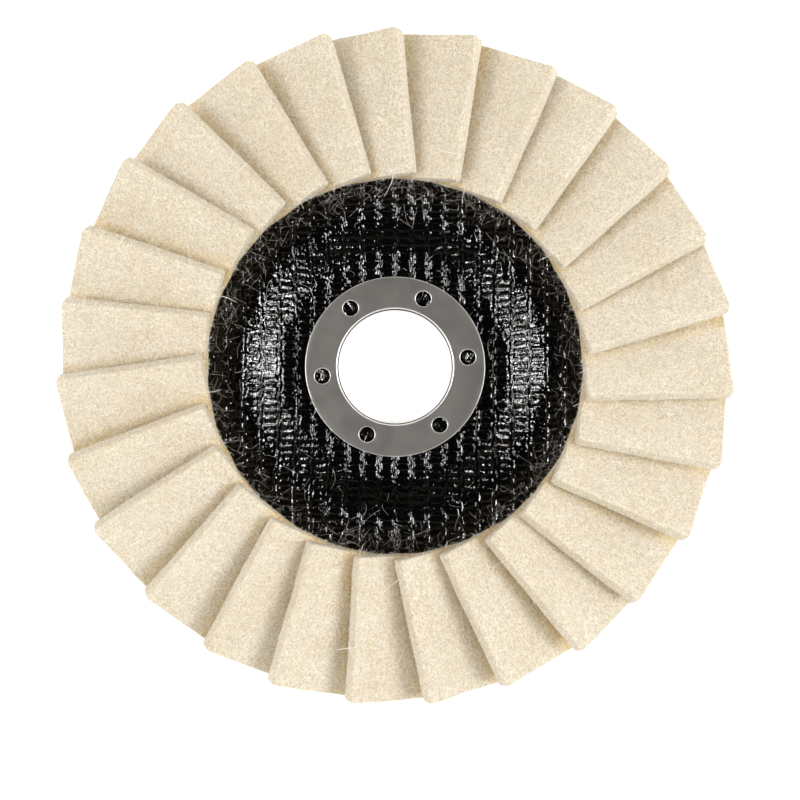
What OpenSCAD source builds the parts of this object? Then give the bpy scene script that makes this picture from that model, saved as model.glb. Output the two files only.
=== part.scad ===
// Felt flap polishing wheel with a depressed-centre glass-fibre backing.
// The origin is the centre of the arbor bore at the rear face of the hub.
// +Z points out of the working face, and the wheel rests on the rear face of its hub.

/* [Wheel] */
// Diameter of the circle that the flaps' outer corners reach
wheel_d = 125; // [122:0.5:127]
// Diameter of the arbor bore
bore_d = 22.23; // [20:0.01:22.23]

/* [Felt flaps] */
// Number of flaps around the wheel
flap_count = 27; // [24:1:27]
// Thickness of the felt
felt_t = 3; // [2:0.1:3]
// Angle of the flaps to the face of the wheel, in degrees
flap_tilt = 26; // [26:0.5:32]
// Width of a flap from its root to its free edge, seen from the front
flap_run = 15.6; // [15:0.1:17]
// How far the free edge lies past the flap's own radial line
flap_lead = 6.8; // [5:0.1:7]
// Distance of the flaps' inner ends from the axis
flap_inner = 35; // [34.5:0.1:37]
// Direction of the first flap's radial line, anticlockwise from +X, in degrees
first_flap = 81; // [0:0.5:360]
// Unevenness of the hand-laid flaps, in degrees
lay_scatter = 0.4; // [0:0.05:0.4]

/* [Backing] */
// Diameter of the backing plate
plate_d = 114; // [110:0.5:118]
// Diameter of the flat hub
hub_d = 41; // [40:0.5:44]
// Diameter at which the dished wall meets the flat rim
dish_d = 60; // [56:0.5:64]
// Depth of the depressed centre
dish_depth = 4.5; // [3:0.1:6]
// Thickness of each glass mesh ply
mesh_t = 0.55; // [0.4:0.05:0.8]
// Thickness of the moulded core
core_t = 1.6; // [1:0.1:2.5]

/* [Centre ring] */
// Outer diameter of the ring's flange
ring_d = 34.8; // [33:0.1:37]
// Thickness of the flange
ring_t = 0.8; // [0.6:0.05:1.2]
// Wall thickness of the sleeve that lines the bore
sleeve_t = 0.7; // [0.4:0.05:1]
// Radius of the rolled bore mouth
mouth_r = 0.35; // [0.1:0.05:0.5]
// Number of resin keying holes
key_count = 6; // [4:1:8]
// Diameter of the keying holes
key_d = 3; // [2:0.1:3.4]
// Diameter of the circle that the keying holes lie on
key_pcd = 28.4; // [27.6:0.1:29]
// Direction of the first keying hole, anticlockwise from +X, in degrees
first_key = 7.4; // [0:0.1:60]

/* [Adhesive] */
// Thickness of the adhesive bed
bed_t = 1.2; // [0.8:0.1:1.6]
// Adhesive left under the roots of the flaps
root_gap = 0.2; // [0.1:0.05:0.4]
// Distance from the bed's edges to the flaps' inner ends and to the edge of the plate
bed_margin = 0.6; // [0.3:0.1:2]

/* [Hidden] */
$fn = 96;
ARC_STEPS = 6;
DISH_STEPS = 10;
EDGE_BREAK = 0.12;
GOLDEN_ANGLE = 137.5;

bore_r = bore_d / 2;
sleeve_r = bore_r + sleeve_t;
hub_t = 2 * mesh_t + core_t;
ring_top = hub_t + ring_t;
rim_top = hub_t + dish_depth;
pitch = 360 / flap_count;
flap_tail = flap_run - flap_lead;
flap_outer = sqrt(pow(wheel_d / 2, 2) - pow(flap_tail + felt_t * sin(flap_tilt), 2));
flap_width = flap_run / cos(flap_tilt);
root_z = rim_top + root_gap;

// The name of flap i, counted clockwise from the first
function flap_name(i) = str("flap_", i < 10 ? "0" : "", i);
// The direction of flap i's radial line, a little off its even place
function flap_angle(i) = first_flap - (i - 1) * pitch + lay_scatter * sin(i * GOLDEN_ANGLE);
// How high the dished backing stands at radius r, above its hub
function dish_rise(r) =
    r <= hub_d / 2 ? 0 :
    r >= dish_d / 2 ? dish_depth :
    dish_depth * (1 - cos(180 * (r - hub_d / 2) / (dish_d / 2 - hub_d / 2))) / 2;
// The radii at which the outline of a ply has a point
function ply_radii() = concat(
    [sleeve_r],
    [for (k = [0:DISH_STEPS]) hub_d / 2 + (dish_d - hub_d) / 2 * k / DISH_STEPS],
    [plate_d / 2]);

// One layer of the dished laminate, whose hub lies from z0 to z0 + t
module ply(z0, t) {
    radii = ply_radii();
    last = len(radii) - 1;
    under = [for (k = [0:last]) [radii[k], z0 + dish_rise(radii[k])]];
    over = [for (k = [last:-1:0]) [radii[k], z0 + t + dish_rise(radii[k])]];
    rotate_extrude() polygon(concat(under, over));
}

// The felt strip of a flap on the +X line: root low, free edge high and clockwise
module flap_strip() {
    translate([flap_inner, flap_tail, root_z])
        rotate([-flap_tilt, 0, 0])
            translate([0, -flap_width, 0])
                cube([flap_outer - flap_inner, flap_width, felt_t]);
}

module flap(i) {
    color("#e8dfc6") rotate([0, 0, flap_angle(i)]) flap_strip();
}

// The cured resin that the roots of the flaps stand in
module adhesive_bed() {
    color("#b9a67c") difference() {
        translate([0, 0, rim_top]) difference() {
            cylinder(h = bed_t, r = plate_d / 2 - bed_margin);
            translate([0, 0, -1]) cylinder(h = bed_t + 2, r = flap_inner + bed_margin);
        }
        for (i = [1:flap_count]) rotate([0, 0, flap_angle(i)]) flap_strip();
    }
}

module rear_glass_mesh() {
    color("#141414") ply(0, mesh_t);
}

module backing_plate() {
    color("#20201f") ply(mesh_t, core_t);
}

module front_glass_mesh() {
    color("#161616") ply(mesh_t + core_t, mesh_t);
}

// Half section of the ring: a sleeve through the hub with a flange over the front mesh
module ring_section() {
    rolled_mouth = [for (k = [0:ARC_STEPS])
        [bore_r + mouth_r * (1 - cos(90 * k / ARC_STEPS)),
         ring_top - mouth_r * (1 - sin(90 * k / ARC_STEPS))]];
    flange_edge = [
        [ring_d / 2 - EDGE_BREAK, ring_top],
        [ring_d / 2, ring_top - EDGE_BREAK],
        [ring_d / 2, hub_t]];
    sleeve = [[sleeve_r, hub_t], [sleeve_r, 0], [bore_r, 0]];
    polygon(concat(rolled_mouth, flange_edge, sleeve));
}

module centre_ring() {
    color("#8a8782") difference() {
        rotate_extrude() ring_section();
        for (k = [0:key_count - 1])
            rotate([0, 0, first_key + k * 360 / key_count])
                translate([key_pcd / 2, 0, hub_t - 1])
                    cylinder(h = ring_t + 2, d = key_d);
    }
}

centre_ring();
front_glass_mesh();
backing_plate();
rear_glass_mesh();
adhesive_bed();
for (i = [1:flap_count])
    flap(i);
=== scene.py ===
"""Looks of the felt flap polishing wheel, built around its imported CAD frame.

Everything is in metres. The wheel lies on the rear face of its hub, with its working face up.
"""
import math

import bmesh
import bpy
import numpy as np
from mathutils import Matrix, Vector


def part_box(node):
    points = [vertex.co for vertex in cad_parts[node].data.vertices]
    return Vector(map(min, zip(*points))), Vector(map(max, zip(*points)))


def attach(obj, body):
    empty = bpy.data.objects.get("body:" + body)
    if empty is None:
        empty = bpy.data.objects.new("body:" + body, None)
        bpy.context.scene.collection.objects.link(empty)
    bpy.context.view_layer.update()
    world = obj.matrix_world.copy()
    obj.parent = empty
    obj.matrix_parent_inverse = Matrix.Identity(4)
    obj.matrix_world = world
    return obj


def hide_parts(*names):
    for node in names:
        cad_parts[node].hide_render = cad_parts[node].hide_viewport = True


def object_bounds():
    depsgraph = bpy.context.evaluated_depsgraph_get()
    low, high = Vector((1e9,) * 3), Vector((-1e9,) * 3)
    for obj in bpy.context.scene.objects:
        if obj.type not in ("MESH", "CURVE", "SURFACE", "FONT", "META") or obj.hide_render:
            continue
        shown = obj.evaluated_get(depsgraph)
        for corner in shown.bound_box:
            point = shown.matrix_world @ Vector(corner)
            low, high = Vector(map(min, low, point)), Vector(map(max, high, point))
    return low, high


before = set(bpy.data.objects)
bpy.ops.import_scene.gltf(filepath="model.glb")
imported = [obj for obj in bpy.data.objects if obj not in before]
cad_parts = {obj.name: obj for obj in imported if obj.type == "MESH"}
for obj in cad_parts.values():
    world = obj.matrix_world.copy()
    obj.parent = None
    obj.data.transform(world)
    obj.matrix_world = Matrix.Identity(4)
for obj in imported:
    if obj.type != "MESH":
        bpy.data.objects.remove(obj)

cad_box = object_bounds()
MM = 0.001
FLAPS = sorted(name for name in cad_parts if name.startswith("flap_"))


# ---------------------------------------------------------------- camera, light and floor

CAMERA_PLACE = (0, -2 * MM, 235 * MM)  # almost straight above the wheel, looking down
LENS, SENSOR = 53.9, 36                # millimetres, Blender's unit for them
FRAME_SHIFT = (0.0061, -0.0287)        # the wheel lies a little high and left in the picture


def add_camera():
    data = bpy.data.cameras.new("camera")
    data.sensor_width, data.lens = SENSOR, LENS
    data.shift_x, data.shift_y = FRAME_SHIFT
    data.clip_start = 10 * MM
    camera = bpy.data.objects.new("camera", data)
    camera.location = CAMERA_PLACE
    bpy.context.scene.collection.objects.link(camera)
    bpy.context.scene.camera = camera


def add_softbox(name, azimuth, elevation, distance, size, power, colour=(1, 1, 1), glossy=False):
    """A rectangular lamp that faces the wheel, and lights it or, if glossy, shines in it."""
    data = bpy.data.lights.new(name, "AREA")
    data.shape = "RECTANGLE"
    data.size, data.size_y = size
    data.energy, data.color = power, colour
    lamp = bpy.data.objects.new(name, data)
    lamp.visible_diffuse, lamp.visible_glossy = not glossy, glossy
    turn, lean = math.radians(azimuth), math.radians(elevation)
    lamp.location = (distance * math.cos(lean) * math.cos(turn),
                     distance * math.cos(lean) * math.sin(turn),
                     distance * math.sin(lean))
    lamp.rotation_euler = (math.pi / 2 - lean, 0, turn + math.pi / 2)
    bpy.context.scene.collection.objects.link(lamp)


def add_light():
    """Soft light from above and both sides, two lamps that only shine, and a warm fill."""
    add_softbox("top_light", 90, 88, 0.8, (0.5, 0.5), 2.1, (1.0, 0.97, 0.92))
    add_softbox("right_light", -5, 41, 0.75, (0.36, 0.30), 4.0, (0.96, 0.985, 1.06))
    add_softbox("left_light", 186, 46, 0.75, (0.36, 0.30), 2.7, (0.96, 0.985, 1.06))
    add_softbox("right_shine", -5, 35, 0.75, (0.24, 0.16), 8.5, glossy=True)
    add_softbox("left_shine", 186, 36, 0.75, (0.24, 0.16), 8.5, glossy=True)
    world = bpy.data.worlds.new("studio")
    bpy.context.scene.world = world
    world.use_nodes = True
    background = world.node_tree.nodes["Background"]
    background.inputs["Color"].default_value = (1.0, 0.77, 0.46, 1)
    background.inputs["Strength"].default_value = 0.27
    world.cycles_visibility.glossy = False
    bpy.context.scene.view_settings.view_transform = "Standard"


FLOOR_FLAT, FLOOR_BEND, FLOOR_WALL = 1.1, 0.4, 0.5  # radius, turn-up and wall, in metres
FLOOR_SIDES = 96


def add_floor():
    """A pale round floor that turns up into a low wall, so no view shows past it."""
    turn = np.linspace(0, math.pi / 2, 9)
    radii = np.concatenate([[1 * MM], FLOOR_FLAT + FLOOR_BEND * np.sin(turn), [FLOOR_FLAT + FLOOR_BEND]])
    heights = np.concatenate([[0], FLOOR_BEND * (1 - np.cos(turn)), [FLOOR_BEND + FLOOR_WALL]])
    radii, heights = radii[:, None], heights[:, None] + cad_box[0][2]
    around = 2 * math.pi * np.arange(FLOOR_SIDES) / FLOOR_SIDES
    heights = np.broadcast_to(heights, (len(radii), FLOOR_SIDES))
    points = np.stack([radii * np.cos(around), radii * np.sin(around), heights], -1).reshape(-1, 3)
    quads = grid_quads(len(radii), FLOOR_SIDES, wrap_columns=True)
    mesh = bpy.data.meshes.new("floor")
    mesh.from_pydata(points.tolist(), [], [list(range(FLOOR_SIDES))] + quads.tolist())
    mesh.shade_smooth()
    floor = bpy.data.objects.new("floor", mesh)
    bpy.context.scene.collection.objects.link(floor)
    floor.visible_glossy = False
    pale = Graph("pale_floor")
    pale.shader.inputs["Base Color"].default_value = (0.62, 0.62, 0.61, 1)
    pale.shader.inputs["Roughness"].default_value = 0.9
    pale.shader.inputs["Emission Color"].default_value = (1, 1, 0.99, 1)
    pale.shader.inputs["Emission Strength"].default_value = 0.55
    mesh.materials.append(pale.material)


# ---------------------------------------------------------------- materials

class Graph:
    """A new material, with short calls that add a node to it."""

    def __init__(self, name):
        self.material = bpy.data.materials.new(name)
        self.material.use_nodes = True
        self.nodes = self.material.node_tree.nodes
        self.links = self.material.node_tree.links
        self.shader = self.nodes["Principled BSDF"]
        self.place = self.nodes.new("ShaderNodeTexCoord").outputs["Object"]

    def put(self, value, socket):
        """Links value to the socket if it is another node's output, or else sets it."""
        if isinstance(value, bpy.types.NodeSocket):
            self.links.new(value, socket)
        else:
            socket.default_value = value

    def node(self, kind, inputs, output=0, **settings):
        made = self.nodes.new("ShaderNode" + kind)
        for key, value in settings.items():
            setattr(made, key, value)
        for key, value in inputs.items():
            self.put(value, made.inputs[key])
        return made.outputs[output]

    def stretched(self, scale, turn=(0, 0, 0)):
        """The object's coordinates, turned by degrees and then scaled."""
        turned = self.node("Mapping", {"Vector": self.place,
                                       "Rotation": [math.radians(a) for a in turn]})
        return self.node("Mapping", {"Vector": turned, "Scale": scale})

    def noise(self, size, detail=2.0, roughness=0.5, distortion=0.0, vector=None):
        """Noise whose lumps are about size across, in metres."""
        return self.node("TexNoise", {"Vector": vector or self.place, "Scale": 1 / size, "Detail": detail,
                                      "Roughness": roughness, "Distortion": distortion})

    def ramp(self, factor, stops):
        """A colour for each factor. stops is a list of (factor, colour)."""
        made = self.nodes.new("ShaderNodeValToRGB")
        while len(made.color_ramp.elements) < len(stops):
            made.color_ramp.elements.new(0.5)
        for element, (at, colour) in zip(made.color_ramp.elements, stops):
            element.position, element.color = at, (*colour, 1)
        self.links.new(factor, made.inputs["Fac"])
        return made.outputs["Color"]

    def mix(self, factor, a, b, blend="MIX"):
        made = self.nodes.new("ShaderNodeMix")
        made.data_type, made.blend_type = "RGBA", blend
        colours = [s for s in made.inputs if s.type == "RGBA"]
        self.put(factor, made.inputs[0])
        for value, socket in ((a, colours[0]), (b, colours[1])):
            self.put((*value, 1) if isinstance(value, tuple) else value, socket)
        return next(s for s in made.outputs if s.type == "RGBA")

    def maths(self, operation, a, b=0.5):
        return self.node("Math", {0: a, 1: b}, operation=operation)

    def bump(self, height, depth, strength=1.0, normal=None):
        inputs = {"Height": height, "Distance": depth, "Strength": strength}
        if normal is not None:
            inputs["Normal"] = normal
        return self.node("Bump", inputs)


def tangled_strands(graph, width, length):
    """From 0 in the gaps to 1 on the strands of a flat tangle that runs every way."""
    top = None
    for turn in (8, 41, 80, 117, 151):
        place = graph.stretched((1 / width, 1 / length, 2 / length), (0, 0, turn))
        streak = graph.noise(1.0, detail=1.0, distortion=0.45, vector=place)
        strand = graph.node("MapRange", {"Value": streak, "From Min": 0.56, "From Max": 0.70})
        top = strand if top is None else graph.maths("MAXIMUM", top, strand)
    return top


def felt_material():
    """Pressed wool: cream patches under a tangle of fine fibres, yellower towards the root: painted warm
    shade where the flap above shades it.
    """
    felt = Graph("wool_felt")
    fine = tangled_strands(felt, 0.12 * MM, 0.8 * MM)
    coarse = tangled_strands(felt, 0.20 * MM, 2.2 * MM)
    height = felt.maths("ADD", felt.maths("MULTIPLY", fine, 0.8), felt.maths("MULTIPLY", coarse, 0.2))
    cream = felt.ramp(felt.noise(11 * MM, detail=2), [(0.3, (0.685, 0.615, 0.475)),
                                                      (0.5, (0.705, 0.640, 0.510)),
                                                      (0.72, (0.720, 0.662, 0.545))])
    # Partly painted shade: the strands are paler and the gaps between them darker, the felt's own grain
    # with painted shade in the gaps.
    shade = felt.ramp(height, [(0.0, (0.74, 0.68, 0.57)), (0.25, (0.96, 0.94, 0.90)),
                               (0.75, (1.25, 1.27, 1.30))])
    # Painted warm shade: where the flap above overhangs and shades it, the wool is multiplied towards
    # yellow-brown, in cloudy patches.
    root = felt.node("Attribute", {}, output="Fac", attribute_name="root")
    cloud = felt.noise(2.5 * MM, detail=3)
    patches = felt.node("MapRange", {"Value": cloud, "From Min": 0.15, "From Max": 0.5})
    painted_shade = felt.maths("MULTIPLY", root, patches)
    wool = felt.mix(painted_shade, felt.mix(1.0, cream, shade, "MULTIPLY"), (0.93, 0.775, 0.47), "MULTIPLY")
    felt.put(wool, felt.shader.inputs["Base Color"])
    felt.shader.inputs["Roughness"].default_value = 0.95
    felt.shader.inputs["Sheen Weight"].default_value = 0.25
    felt.shader.inputs["Sheen Roughness"].default_value = 0.5
    felt.shader.inputs["Specular IOR Level"].default_value = 0.15
    felt.put(felt.bump(height, 0.11 * MM, 0.85), felt.shader.inputs["Normal"])
    return felt.material


def fibre_material():
    """A loose wool fibre, paler and shinier than the pressed felt."""
    fibre = Graph("wool_fibre")
    tone = fibre.ramp(fibre.noise(2 * MM), [(0.3, (0.93, 0.89, 0.80)), (0.7, (0.97, 0.95, 0.90))])
    fibre.put(tone, fibre.shader.inputs["Base Color"])
    fibre.shader.inputs["Roughness"].default_value = 0.35
    fibre.shader.inputs["Specular IOR Level"].default_value = 0.7
    fibre.shader.inputs["Sheen Weight"].default_value = 1.0
    fibre.shader.inputs["Sheen Roughness"].default_value = 0.3
    return fibre.material


def resin_mesh_material():
    """Black resin over woven glass: glossy, with the filaments of the yarns showing through."""
    resin = Graph("resin_mesh")
    along_x = resin.noise(1.0, detail=1, vector=resin.stretched((900, 3600, 2000)))
    along_y = resin.noise(1.0, detail=1, vector=resin.stretched((3600, 900, 2000)))
    filaments = resin.maths("ADD", along_x, along_y)
    lumps = resin.noise(0.42 * MM, detail=1.5, roughness=0.5, distortion=0.4)
    resin.shader.inputs["Base Color"].default_value = (0.0015, 0.0015, 0.0016, 1)
    rough = resin.node("MapRange", {"Value": resin.noise(3 * MM, detail=3), "From Min": 0.35,
                                    "From Max": 0.7, "To Min": 0.02, "To Max": 0.07})
    resin.put(rough, resin.shader.inputs["Roughness"])
    resin.shader.inputs["IOR"].default_value = 1.52
    resin.shader.inputs["Specular IOR Level"].default_value = 0.5
    wavy = resin.bump(lumps, 0.10 * MM, 1.0)
    resin.put(resin.bump(filaments, 0.07 * MM, 0.9, normal=wavy), resin.shader.inputs["Normal"])
    return resin.material


def core_material():
    """The cut edge of the moulded core: dark resin with chopped glass and grit in it."""
    core = Graph("moulded_core")
    grit = core.noise(0.35 * MM, detail=4, roughness=0.7)
    chopped = core.noise(1.0, detail=2, vector=core.stretched((900, 900, 5000)))
    flecks = core.maths("MULTIPLY", grit, chopped)
    tone = core.ramp(flecks, [(0.18, (0.010, 0.010, 0.010)), (0.34, (0.035, 0.034, 0.032)),
                              (0.46, (0.16, 0.155, 0.14))])
    core.put(tone, core.shader.inputs["Base Color"])
    core.shader.inputs["Roughness"].default_value = 0.62
    core.put(core.bump(grit, 0.25 * MM, 0.8), core.shader.inputs["Normal"])
    return core.material


def epoxy_material():
    """Cured epoxy: a dark amber glue, smooth where it flowed and dusty with felt elsewhere."""
    glue = Graph("epoxy")
    cloud = glue.noise(4 * MM, detail=4, roughness=0.6)
    tone = glue.ramp(cloud, [(0.3, (0.16, 0.105, 0.045)), (0.55, (0.27, 0.19, 0.09)),
                             (0.8, (0.45, 0.36, 0.22))])
    glue.put(tone, glue.shader.inputs["Base Color"])
    rough = glue.node("MapRange", {"Value": cloud, "To Min": 0.18, "To Max": 0.6})
    glue.put(rough, glue.shader.inputs["Roughness"])
    glue.put(glue.bump(glue.noise(1.2 * MM, detail=3), 0.2 * MM, 0.5), glue.shader.inputs["Normal"])
    return glue.material


def steel_material():
    """Satin stamped steel, with a fine grain, a few duller smears and a painted highlight that makes its
    rounded edges pale and less metallic.
    """
    steel = Graph("satin_steel")
    grain = steel.noise(0.10 * MM, detail=3, roughness=0.6)
    smear = steel.noise(7 * MM, detail=4, roughness=0.55, distortion=1.2)
    tone = steel.ramp(smear, [(0.3, (0.435, 0.413, 0.386)), (0.6, (0.453, 0.430, 0.400)),
                              (0.85, (0.435, 0.411, 0.379))])
    # Painted highlight: the rounded edges are made pale and less metallic so they read bright all round.
    rim_highlight = steel.node("Attribute", {}, output="Fac", attribute_name="rim")
    steel.put(steel.mix(rim_highlight, tone, (0.86, 0.85, 0.82)), steel.shader.inputs["Base Color"])
    steel.put(steel.node("MapRange", {"Value": rim_highlight, "To Min": 1.0, "To Max": 0.35}),
              steel.shader.inputs["Metallic"])
    rough = steel.node("MapRange", {"Value": smear, "From Min": 0.3, "From Max": 0.8,
                                    "To Min": 0.39, "To Max": 0.43})
    steel.put(rough, steel.shader.inputs["Roughness"])
    steel.put(steel.bump(grain, 0.012 * MM, 0.35), steel.shader.inputs["Normal"])
    return steel.material


# ---------------------------------------------------------------- mesh helpers

def lattice(cell, seed):
    """A fixed pseudo-random number from 0 to 1 for each whole-numbered cell."""
    x, y, z = (cell[..., k].astype(np.uint64) for k in range(3))
    mixed = x * np.uint64(73856093) ^ y * np.uint64(19349663) ^ z * np.uint64(83492791)
    mixed = (mixed ^ np.uint64(seed * 2654435761 % 2**32)) * np.uint64(0x9E3779B97F4A7C15)
    mixed = (mixed ^ (mixed >> np.uint64(29))) * np.uint64(0xBF58476D1CE4E5B9)
    return (mixed >> np.uint64(40)).astype(float) / 2**24


def noise(points, size, seed):
    """Smooth noise from -1 to 1 at points, whose lumps are about size across."""
    scaled = np.asarray(points) / size
    cell = np.floor(scaled).astype(np.int64)
    part = scaled - cell
    part = part * part * (3 - 2 * part)
    total = 0.0
    for corner in np.ndindex(2, 2, 2):
        weight = np.prod(np.where(corner, part, 1 - part), axis=-1)
        total = total + weight * lattice(cell + corner, seed)
    return 2 * total - 1


def piece(name, points, faces, material, replaces=()):
    """A smooth mesh that rides on the wheel. faces is a list of arrays of quads or triangles."""
    mesh = bpy.data.meshes.new(name)
    corners = np.concatenate([f.ravel() for f in faces])
    counts = np.concatenate([np.full(len(f), f.shape[1]) for f in faces])
    starts = np.concatenate([[0], np.cumsum(counts)[:-1]])
    mesh.vertices.add(len(points))
    mesh.vertices.foreach_set("co", np.asarray(points, np.float32).ravel())
    mesh.loops.add(len(corners))
    mesh.loops.foreach_set("vertex_index", corners.astype(np.int32))
    mesh.polygons.add(len(counts))
    mesh.polygons.foreach_set("loop_start", starts.astype(np.int32))
    mesh.update(calc_edges=True)
    mesh.shade_smooth()
    mesh.materials.append(material)
    made = bpy.data.objects.new(name, mesh)
    bpy.context.scene.collection.objects.link(made)
    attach(made, "root")
    if replaces:
        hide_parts(*replaces)
    return made


def grid_quads(rows, columns, wrap_rows=False, wrap_columns=False):
    """The quads of a grid of points, numbered row by row."""
    index = np.arange(rows * columns).reshape(rows, columns)
    if wrap_rows:
        index = np.vstack([index, index[:1]])
    if wrap_columns:
        index = np.hstack([index, index[:, :1]])
    corners = [index[:-1, :-1], index[1:, :-1], index[1:, 1:], index[:-1, 1:]]
    return np.stack(corners, -1).reshape(-1, 4)


def box_shell(sides):
    """Points and quads on the six faces of a box. sides holds the grid lines along its three axes."""
    shape = tuple(len(side) for side in sides)
    skin = np.ones(shape, bool)
    skin[1:-1, 1:-1, 1:-1] = False
    index = np.full(shape, -1)
    index[skin] = np.arange(skin.sum())
    points = np.stack(np.meshgrid(*sides, indexing="ij"), -1)[skin]
    quads = []
    for axis in range(3):
        for end in (0, -1):
            face = np.take(index, end, axis)
            corners = [face[:-1, :-1], face[1:, :-1], face[1:, 1:], face[:-1, 1:]]
            quad = np.stack(corners, -1).reshape(-1, 4)
            inward = (end == 0) != (axis == 1)
            quads.append(quad[:, ::-1] if inward else quad)
    return points, np.concatenate(quads)


def tubes(paths, radius, sides=3):
    """Points and faces of thin tapered tubes along paths, an array of (tube, point, xyz)."""
    count, steps, _ = paths.shape
    ahead = np.gradient(paths, axis=1)
    ahead /= np.linalg.norm(ahead, axis=2, keepdims=True) + 1e-12
    across = np.cross(ahead, (0.36, 0.48, 0.8))
    across /= np.linalg.norm(across, axis=2, keepdims=True) + 1e-12
    beyond = np.cross(ahead, across)
    turn = 2 * math.pi * np.arange(sides) / sides
    taper = radius * (1 - 0.65 * np.abs(np.linspace(-1, 1, steps)) ** 3)
    ring = across[:, :, None] * np.cos(turn)[:, None] + beyond[:, :, None] * np.sin(turn)[:, None]
    points = paths[:, :, None] + ring * taper[None, :, None, None]
    first = np.arange(count)[:, None] * steps * sides
    quads = (first[:, :, None] + grid_quads(steps, sides, wrap_columns=True)[None]).reshape(-1, 4)
    start_cap = first + np.arange(sides)[None]
    end_cap = first + (steps - 1) * sides + np.arange(sides)[None]
    return points.reshape(-1, 3), [quads, start_cap[:, ::-1], end_cap]


# ---------------------------------------------------------------- felt flaps

FELT_EDGE = 0.38 * MM   # radius to which the cut edges of the felt have softened
FELT_STEP = 0.36 * MM   # spacing of the points on a flap
FIBRE_R = 0.028 * MM    # radius of a loose fibre
CORNER_R = 1.6 * MM     # how far from its corners a flap's outline begins to turn
CORNER_PULL = 0.1 * MM  # how far a corner has worn back
ROOT_FADE = 4.0 * MM    # how far past the flap above it the painted warm shade on a flap's root reaches


def near(gap):
    """From 1 on an edge, smoothly to 0 at CORNER_R inside it."""
    return np.clip(1 - gap / CORNER_R, 0, 1) ** 2


class Strip:
    """A flap's place, read from its CAD slab, and how its felt lies in it.

    Its own coordinates run from the low inner corner of the root: x outwards along the wheel's
    radius, y up the slope to the free edge, z through the felt to its upper face.
    """

    def __init__(self, node, rng):
        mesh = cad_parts[node].data
        normals = np.array([face.normal for face in mesh.polygons])
        corners = np.array([v.co for v in mesh.vertices])
        outward = corners.mean(0) * (1, 1, 0)
        upper = normals[np.argmax(normals[:, 2])]
        along = normals[np.argmax(normals @ outward)]
        slope = np.cross(upper, along)
        slope = slope * np.sign(slope[2])
        self.axes = np.array([along, slope, upper])
        reach = corners @ self.axes.T
        self.origin = reach.min(0) @ self.axes
        self.size = reach.max(0) - reach.min(0)
        self.skew, self.lift, self.sag = rng.uniform(-1, 1, 3)
        self.seed = int(rng.integers(1, 10**6))

    def place(self, points):
        """Points in the strip's coordinates, bent as its felt lies and put in the wheel's frame."""
        x, y, z = points.T
        out, up = x / self.size[0], y / self.size[1]
        wear_and_highlight = CORNER_PULL * near(self.size[1] - y) * (near(self.size[0] - x) + 0.6 * near(x))
        free = np.clip(up, 0, 1.2) ** 2
        bent_x = x + 0.22 * self.sag * up * MM + wear_and_highlight * np.sign(0.5 - out)
        bent_y = y + (0.9 * self.skew * (out - 0.35) + 0.25 * self.lift) * up * MM - wear_and_highlight
        bent_z = z + (self.lift * (0.12 + 0.55 * out) * free
                      + 0.3 * self.sag * out * np.sin(math.pi * up)) * MM
        return self.origin + np.stack([bent_x, bent_y, bent_z], -1) @ self.axes


def grid_lines(length):
    """Grid lines along one side of a flap, closer together over its softened edges."""
    rim = FELT_EDGE * np.array([0, 0.3, 0.65])
    middle = np.linspace(FELT_EDGE, length - FELT_EDGE, round(length / FELT_STEP))
    return np.concatenate([rim, middle, length - rim[::-1]])


def felt_slab(strip):
    """Points and quads of one flap: a slab with soft edges and a lumpy, pressed surface."""
    points, quads = box_shell([grid_lines(side) for side in strip.size])
    core = np.clip(points, FELT_EDGE, strip.size - FELT_EDGE)
    outward = points - core
    outward /= np.linalg.norm(outward, axis=1, keepdims=True)
    lumps = sum(depth * noise(points, size, strip.seed + k) for k, (size, depth) in enumerate(
        [(5.0 * MM, 0.10 * MM), (1.7 * MM, 0.03 * MM), (0.8 * MM, 0.02 * MM)]))
    swell = FELT_EDGE + lumps + 0.05 * MM
    return strip.place(core + outward * swell[:, None]), quads[:, ::-1]


def rootward(strip):
    """Painted warm shade on a flap: from 1 under the flap above, smoothly to 0 at ROOT_FADE beyond its
    edge, for each point.
    """
    points, _ = box_shell([grid_lines(side) for side in strip.size])
    inner = np.hypot(*strip.origin[:2])
    pitch = 2 * math.pi * (inner + points[:, 0]) / len(FLAPS)
    edge_above = strip.size[1] - pitch / abs(strip.axes[2][2])
    return np.clip(1 - (points[:, 1] - edge_above) / ROOT_FADE, 0, 1)


def wandering(starts, headings, lengths, steps, curl, rng):
    """Paths that start in the headings and turn gently by up to curl, in radians, all along."""
    count = len(starts)
    turns = rng.normal(0, curl / steps, (count, steps - 1, 3)).cumsum(1) + \
        rng.normal(0, curl / steps, (count, 1, 3))
    ahead = headings[:, None] + turns.cumsum(1) * 0.5
    ahead /= np.linalg.norm(ahead, axis=2, keepdims=True)
    moves = ahead * (lengths / (steps - 1))[:, None, None]
    return np.concatenate([starts[:, None], starts[:, None] + moves.cumsum(1)], 1)


def lying_fibres(strip, count, shortest, longest, steps, rng):
    """Loose fibres that lie on a flap's upper face, with their ends a little raised."""
    length, width, thick = strip.size
    starts = rng.uniform((0.02, 0.25, 1), (0.98, 0.98, 1), (count, 3)) * strip.size
    turn = rng.uniform(0, 2 * math.pi, count)
    headings = np.stack([np.cos(turn), np.sin(turn), np.zeros(count)], 1)
    lengths = rng.uniform(shortest, longest, count)
    paths = wandering(starts, headings, lengths, steps, 2.4, rng)
    arch = rng.uniform(0.05 * MM, 0.5 * MM, (count, 1)) * np.abs(np.linspace(-1, 1, steps)) ** 2
    paths[:, :, 2] = thick + 0.09 * MM + arch
    return paths


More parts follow.
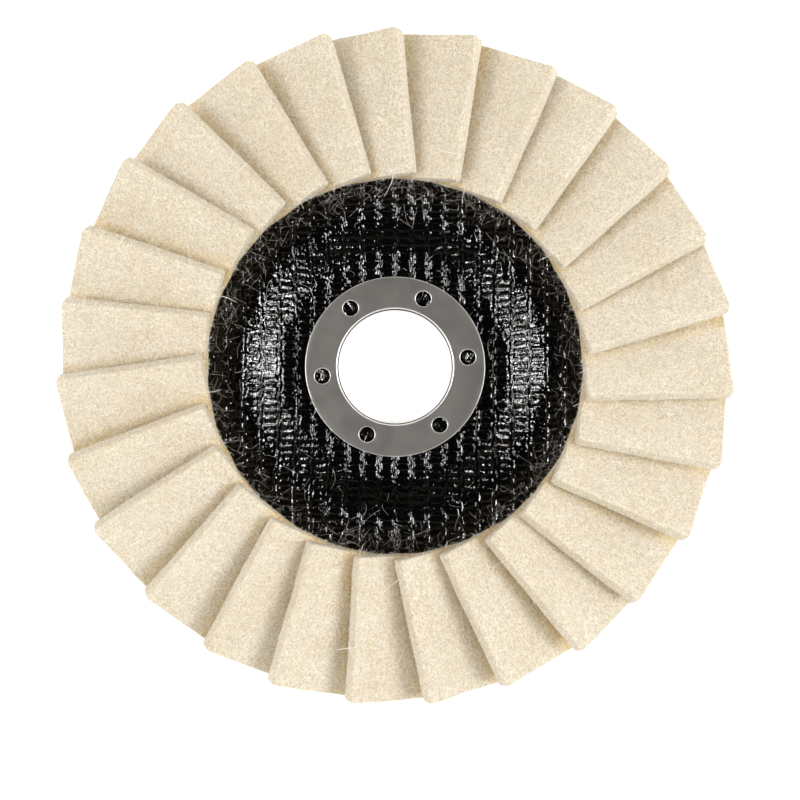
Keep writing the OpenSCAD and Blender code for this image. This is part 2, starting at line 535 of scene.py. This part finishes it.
def fuzz(strip, count, rng):
    """Short fibre ends that stand out of a flap's upper face, its cut ends and its free edge."""
    faces = [(2, 1, 0.46), (1, 1, 0.30), (0, 1, 0.12), (0, 0, 0.12)]
    starts, headings = [], []
    for axis, end, share in faces:
        number = int(count * share)
        start = rng.uniform(0.01, 0.99, (number, 3))
        start[:, 1] = 1 - (1 - start[:, 1]) * 0.8
        start[:, axis] = end
        heading = rng.normal(0, 0.9, (number, 3))
        heading[:, axis] = (1 if end else -1) * rng.uniform(0.25, 1.1, number)
        starts.append(start * strip.size)
        headings.append(heading / np.linalg.norm(heading, axis=1, keepdims=True))
    lengths = rng.uniform(0.25 * MM, 1.0 * MM, sum(len(s) for s in starts))
    return wandering(np.concatenate(starts), np.concatenate(headings), lengths, 4, 2.0, rng)


def strip_tubes(strip, groups):
    """Points and faces of the fibres in groups, each (paths, radius), laid on a strip."""
    points, faces, used = [], [], 0
    for paths, radius in groups:
        placed = strip.place(paths.reshape(-1, 3)).reshape(paths.shape)
        tube_points, tube_faces = tubes(placed, radius)
        points.append(tube_points)
        faces += [face + used for face in tube_faces]
        used += len(tube_points)
    return np.concatenate(points), faces


def add_flaps(felt, wool):
    for number, node in enumerate(FLAPS):
        rng = np.random.default_rng(1000 + number)
        strip = Strip(node, rng)
        points, quads = felt_slab(strip)
        slab = piece("felt_" + node, points, [quads], felt, [node])
        # The painted warm shade's mask, kept on the slab's points.
        painted_shade_layer = slab.data.attributes.new("root", "FLOAT", "POINT")
        painted_shade_layer.data.foreach_set("value", rootward(strip).astype(np.float32))
        groups = [(lying_fibres(strip, 9, 4 * MM, 9 * MM, 14, rng), FIBRE_R * 2.0),
                  (lying_fibres(strip, 120, 1.2 * MM, 3.5 * MM, 8, rng), FIBRE_R * 1.4),
                  (fuzz(strip, 800, rng), FIBRE_R * 0.8)]
        points, faces = strip_tubes(strip, groups)
        fibres = piece("fibres_" + node, points, faces, wool)


# ---------------------------------------------------------------- laminated backing

WARP_PITCH = 3.2 * MM     # between the pairs of warp yarns, which run along Y
WEFT_PITCH = 1.32 * MM    # between the flat weft yarns, which run along X
YARN_RISE = 0.30 * MM     # how far a yarn stands out of the resin between the yarns
YARN_CREASE = 11.0        # how sharp the creases between crossing yarns are
MESH_TURNS = 1200         # points around the wheel


def node_profile(node, side):
    """(radii, heights) of a turned node's upper (side 1) or lower (side -1) face."""
    co = np.array([v.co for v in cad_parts[node].data.vertices])
    radii = np.round(np.hypot(co[:, 0], co[:, 1]), 5)
    stations = np.unique(radii)
    pick = np.max if side > 0 else np.min
    heights = np.array([pick(co[radii == r, 2]) for r in stations])
    return stations, heights


def radius_range(node):
    """The smallest and largest distance of a node's points from the axis."""
    co = np.array([v.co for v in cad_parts[node].data.vertices])
    radii = np.hypot(co[:, 0], co[:, 1])
    return radii.min(), radii.max()


def scattered(across, along, seed):
    """A number from -1 to 1 for each whole-numbered place in the weave."""
    cell = np.stack([across, along, np.zeros_like(across)], -1).astype(np.int64)
    return 2 * lattice(cell, seed) - 1


def weave(x, y, seed):
    """How far the wetted weave stands out, from 0 in the resin to about 1 on a yarn."""
    flat = np.stack([x, y, np.zeros_like(x)], -1)
    x = x + 0.32 * MM * noise(flat, 9 * MM, seed) + 0.12 * MM * noise(flat, 1.5 * MM, seed + 1)
    y = y + 0.24 * MM * noise(flat, 7 * MM, seed + 2) + 0.11 * MM * noise(flat, 1.3 * MM, seed + 3)
    pair, row = np.round(x / WARP_PITCH), np.round(y / WEFT_PITCH)
    beside, above = (x - pair * WARP_PITCH) / MM, (y - row * WEFT_PITCH) / MM
    window = np.floor(x / WARP_PITCH)
    inside = (x - (window + 0.5) * WARP_PITCH) / MM
    plump = 0.80 + 0.16 * scattered(window, row, seed + 7)
    tilt = (0.16 * inside * scattered(window, row, seed + 8)
            + 0.40 * above * scattered(window, row, seed + 9))
    weft = plump * np.clip(1 - (above / 0.54) ** 4, 0, 1) ** 0.5 + tilt
    weft = weft - 0.55 * np.exp(-(beside / 0.60) ** 2)
    twist = np.sin(math.pi * y / WEFT_PITCH + 2.1 * pair)
    loose = 0.24 * noise(flat, 0.9 * MM, seed + 4) + 0.12 * noise(flat, 0.45 * MM, seed + 5)
    layers = [weft + loose, 0.22 + 0.30 * noise(flat, 5 * MM, seed + 6)]
    for hand in (-1, 1):
        centre = hand * (0.40 + 0.11 * twist)
        shape = np.sqrt(np.clip(1 - ((beside - centre) / 0.29) ** 2, 0, 1))
        layers.append(shape * (0.92 + 0.22 * hand * twist) + 0.7 * loose)
    return np.log(np.exp(YARN_CREASE * np.stack(layers)).sum(0)) / YARN_CREASE


def turned_points(radii, heights):
    """Grid of points for each radius and height (section, turn). Either may vary round the wheel."""
    turn = 2 * math.pi * np.arange(MESH_TURNS) / MESH_TURNS
    radii = np.broadcast_to(radii, (radii.shape[0], MESH_TURNS))
    heights = np.broadcast_to(heights, (heights.shape[0], MESH_TURNS))
    return np.stack([radii * np.cos(turn), radii * np.sin(turn), heights], -1)


def add_glass_ply(name, node, side, radii, weft_seed, material):
    """A mesh ply: woven on its outer face (side 1 is up), plain where it meets the core."""
    stations, outer = node_profile(node, side)
    _, inner = node_profile(node, -side)
    edge = stations[-1]
    column = radii[:, None]
    base = turned_points(column, np.interp(column, stations, outer))
    height = weave(base[..., 0], base[..., 1], weft_seed)
    fade = np.clip((edge - column) / (0.6 * MM), 0, 1) ** 0.5
    proud = height * fade - 0.85
    base[..., 2] += side * (proud if side > 0 else np.minimum(proud, 0)) * YARN_RISE
    ragged = 0.12 * MM * noise(base[-1:], 1.4 * MM, weft_seed + 9)
    turn = np.arctan2(base[-1:, :, 1], base[-1:, :, 0])
    base[-1:, :, 0] += ragged * np.cos(turn)
    base[-1:, :, 1] += ragged * np.sin(turn)
    back_radii = np.array([edge, stations[-2], stations[1], stations[0]])[:, None]
    back = turned_points(back_radii, np.interp(back_radii, stations, inner))
    dish = stations[(stations > stations[1]) & (stations < stations[-2])][::-1, None]
    dish_back = turned_points(dish, np.interp(dish, stations, inner))
    section = np.concatenate([base, back[:2], dish_back, back[2:]])
    quads = grid_quads(len(section), MESH_TURNS, wrap_rows=True, wrap_columns=True)
    quads = quads if side > 0 else quads[:, ::-1]
    piece(name, section.reshape(-1, 3), [quads], material, [node])


def add_backing(resin, core):
    stations, _ = node_profile("front_glass_mesh", 1)
    bore, edge = stations[0], stations[-1]
    covered = radius_range("centre_ring")[1] - 0.6 * MM   # just under the ring's edge
    shown = radius_range("adhesive_bed")[0] + 1.0 * MM    # just under the flaps' inner ends
    front = np.concatenate([[bore], np.linspace(covered, shown, 110),
                            np.linspace(shown, edge, 7)[1:]])
    rear = np.concatenate([[bore], np.linspace(bore + 0.3 * MM, edge, 125)])
    add_glass_ply("front_mesh", "front_glass_mesh", 1, front, 11, resin)
    add_glass_ply("rear_mesh", "rear_glass_mesh", -1, rear, 57, resin)
    add_core(core)


def add_core(core):
    """The moulded core between the plies, whose cut rim is a little rough."""
    stations, upper = node_profile("backing_plate", 1)
    _, lower = node_profile("backing_plate", -1)
    column = stations[:, None]
    top = turned_points(column, upper[:, None])
    rim_r = np.full((7, 1), stations[-1])
    rim = turned_points(rim_r, np.linspace(upper[-1], lower[-1], 9)[1:-1, None])
    rough = noise(rim, 0.9 * MM, 71) * 0.10 * MM + noise(rim, 3 * MM, 72) * 0.08 * MM
    rim[..., :2] *= 1 + rough[..., None] / stations[-1]
    bottom = turned_points(column[::-1], lower[::-1, None])
    section = np.concatenate([top, rim, bottom])
    quads = grid_quads(len(section), MESH_TURNS, wrap_rows=True, wrap_columns=True)
    piece("moulded_core", section.reshape(-1, 3), [quads], core, ["backing_plate"])


def add_adhesive(glue):
    """The epoxy bed: a flattened bead, uneven where it was pressed out between the roots."""
    low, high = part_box("adhesive_bed")
    inner, outer = radius_range("adhesive_bed")[0], high[0]
    steps = 40
    across = np.linspace(0, 1, steps)[:, None]
    radii = inner + (outer - inner) * across
    top = turned_points(radii, np.zeros((steps, 1)))
    swell = 0.72 + 0.20 * noise(top, 4 * MM, 81) + 0.08 * noise(top, 1.5 * MM, 82)
    shoulder = np.clip(np.minimum(across, 1 - across) * (outer - inner) / (1.0 * MM), 0, 1)
    shoulder = np.sqrt(1 - (1 - shoulder) ** 2)
    top[..., 2] = low[2] + (high[2] - low[2]) * np.clip(swell, 0.3, 1) * shoulder
    wander = 0.35 * MM * noise(top, 5 * MM, 83) * (1 - shoulder)
    top[..., :2] *= 1 - np.abs(wander)[..., None] / radii[..., None] * np.sign(across - 0.5)[..., None]
    bottom = top[::-1].copy()
    bottom[..., 2] = low[2]
    section = np.concatenate([top, bottom[1:-1]])
    quads = grid_quads(len(section), MESH_TURNS, wrap_rows=True, wrap_columns=True)
    piece("epoxy_bed", section.reshape(-1, 3), [quads], glue, ["adhesive_bed"])


# ---------------------------------------------------------------- steel centre ring

RING_SIDE = 24      # points along the arc of each sixth of the ring
RING_SPOKE = 8      # points along a radius of it
RIM_ROUND = 0.13 * MM   # radius of its rounded edges
HOLE_REACH = 4 * MM     # points closer than this are on the same hole's rim


def quarter_round(steps=5):
    """(how far along, how far down) of a rounded edge, from its flat face to its wall."""
    turn = np.linspace(0, math.pi / 2, steps)
    return list(zip(np.sin(turn), 1 - np.cos(turn)))


def ring_facts():
    """The ring's sizes, and the points round the edges of its keying holes, read from its CAD node."""
    co = np.array([v.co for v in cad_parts["centre_ring"].data.vertices])
    radii = np.hypot(co[:, 0], co[:, 1])
    top = co[:, 2].max()
    bore, edge = radii.min(), radii.max()
    under = co[radii > edge - 0.01 * MM, 2].min()
    sleeve = radii[co[:, 2] < 0.01 * MM].max()
    mouth = radii[co[:, 2] > top - 0.001 * MM].min()
    between = (radii > mouth + 0.3 * MM) & (radii < edge - 0.3 * MM)
    drilled = co[between & (co[:, 2] > top - 0.001 * MM)]
    return top, under, bore, mouth, sleeve, edge, drilled


def hole_centres(drilled):
    """The middles of the holes, from the points on their rims."""
    left, found = list(drilled[:, :2]), []
    while left:
        same = [p for p in left if np.linalg.norm(p - left[0]) < HOLE_REACH]
        middle = (np.max(same, 0) + np.min(same, 0)) / 2
        found.append((middle, max(np.linalg.norm(p - middle) for p in same)))
        left = [p for p in left if np.linalg.norm(p - left[0]) >= HOLE_REACH]
    return found


def drilled_face(middle, hole_r, count, inner, outer, height):
    """Rows of points from a hole's edge out to the border of its share of the ring's face."""
    aim = math.atan2(middle[1], middle[0])
    half = math.pi / count
    arc = np.linspace(aim - half, aim + half, RING_SIDE + 1)
    spoke = np.linspace(inner, outer, RING_SPOKE + 1)
    border = [(inner, a) for a in arc[:-1]] + [(r, arc[-1]) for r in spoke[:-1]]
    border += [(outer, a) for a in arc[:0:-1]] + [(r, arc[0]) for r in spoke[:0:-1]]
    border = np.array([(r * math.cos(a), r * math.sin(a)) for r, a in border])
    rays = border - middle
    rim = middle + rays / np.linalg.norm(rays, axis=1, keepdims=True) * hole_r
    rows = [rim + (border - rim) * s for s in (0, 0.15, 0.4, 0.7, 1)]
    return np.stack([np.concatenate([row, np.full((len(row), 1), height)], 1) for row in rows])


def hole_wall(upper, lower, middle, hole_r, top):
    """Rows of points down a keying hole, from its rounded upper edge to its lower one."""
    rows = []
    for out, down in quarter_round():
        row = upper[0].copy()
        rays = row[:, :2] - middle
        rays /= np.linalg.norm(rays, axis=1, keepdims=True)
        row[:, :2] = middle + rays * (hole_r + RIM_ROUND * (1 - out))
        row[:, 2] = top - RIM_ROUND * down
        rows.append(row)
    return np.stack(rows + [lower[0]])


def ring_patches():
    """The ring's surface as grids of points, each with the number of its rows that are rounded."""
    top, under, bore, mouth, sleeve, edge, drilled = ring_facts()
    holes = hole_centres(drilled)
    count = len(holes)
    first = math.atan2(*holes[0][0][::-1]) - math.pi / count
    turn = first + 2 * math.pi * np.arange(count * RING_SIDE) / (count * RING_SIDE)
    flat_edge, roll = edge - RIM_ROUND, mouth - bore
    patches = []
    for middle, hole_r in holes:
        upper = drilled_face(middle, hole_r + RIM_ROUND, count, mouth, flat_edge, top)
        lower = drilled_face(middle, hole_r, count, sleeve, edge, under)
        patches += [(upper, 0), (lower, 0), (hole_wall(upper, lower, middle, hole_r, top), 5)]
    outer_wall = [(flat_edge + RIM_ROUND * out, top - RIM_ROUND * down)
                  for out, down in quarter_round()]
    outer_wall.append((edge, under))
    inner_wall = [(mouth - roll * out, top - roll * down) for out, down in quarter_round(8)]
    inner_wall += [(bore, 0.12 * MM), (bore + 0.12 * MM, 0), (sleeve, 0), (sleeve, under)]
    for stations, rounded in ((outer_wall, 5), (inner_wall, 6)):
        rows = [np.stack([r * np.cos(turn), r * np.sin(turn), np.full_like(turn, z)], -1)
                for r, z in stations]
        patches.append((np.stack(rows), rounded))
    return patches


def add_ring(steel):
    """The stamped ring: a drilled flange with rounded edges, and the sleeve that lines the bore."""
    points, quads, rim_highlight, used = [], [], [], 0
    for rows, rounded in ring_patches():
        points.append(rows.reshape(-1, 3))
        quads.append(grid_quads(*rows.shape[:2], wrap_columns=True) + used)
        # The rounded rows are marked for the steel's painted highlight.
        rim = np.zeros(rows.shape[:2])
        rim[1:max(rounded - 1, 1)] = 1
        rim_highlight.append(rim.ravel())
        used += rows.shape[0] * rows.shape[1]
    ring = piece("steel_ring", np.concatenate(points), quads, steel, ["centre_ring"])
    wear_and_highlight = ring.data.attributes.new("rim", "FLOAT", "POINT")
    wear_and_highlight.data.foreach_set("value", np.concatenate(rim_highlight).astype(np.float32))
    weld(ring, 0.004 * MM)


def weld(made, gap):
    """Joins the points of a piece that are closer than gap, and turns its faces outwards."""
    work = bmesh.new()
    work.from_mesh(made.data)
    bmesh.ops.remove_doubles(work, verts=work.verts, dist=gap)
    bmesh.ops.recalc_face_normals(work, faces=work.faces)
    work.to_mesh(made.data)
    work.free()
    made.data.shade_smooth()


# ---------------------------------------------------------------- stray fibres

def add_stray_fibres(wool):
    """Fibres shed by the felt that lie on the black mesh, most of them close to the flaps."""
    rng = np.random.default_rng(77)
    count, steps = 900, 10
    stations, heights = node_profile("front_glass_mesh", 1)
    inward = np.abs(rng.normal(0, 1, count)) * np.where(rng.random(count) < 0.8, 1.8 * MM, 7 * MM)
    ring_edge, bed_edge = radius_range("centre_ring")[1], radius_range("adhesive_bed")[0]
    radius = np.clip(bed_edge - inward, ring_edge + 1.6 * MM, None)
    turn = rng.uniform(0, 2 * math.pi, count)
    starts = np.stack([radius * np.cos(turn), radius * np.sin(turn), np.zeros(count)], 1)
    aim = rng.uniform(0, 2 * math.pi, count)
    headings = np.stack([np.cos(aim), np.sin(aim), np.zeros(count)], 1)
    lengths = rng.uniform(1.0 * MM, 4.5 * MM, count)
    paths = wandering(starts, headings, lengths, steps, 4.5, rng)
    reach = np.hypot(paths[..., 0], paths[..., 1])
    arch = rng.uniform(0.05 * MM, 0.4 * MM, (count, 1)) * np.sin(np.linspace(0, math.pi, steps)) ** 2
    paths[..., 2] = np.interp(reach, stations, heights) + 0.06 * MM + arch
    points, faces = tubes(paths, FIBRE_R * 0.42)
    piece("stray_fibres", points, faces, wool)


# ---------------------------------------------------------------- the scene

add_camera()
add_light()
add_floor()
wool = fibre_material()
add_flaps(felt_material(), wool)
add_backing(resin_mesh_material(), core_material())
add_adhesive(epoxy_material())
add_ring(steel_material())
add_stray_fibres(wool)
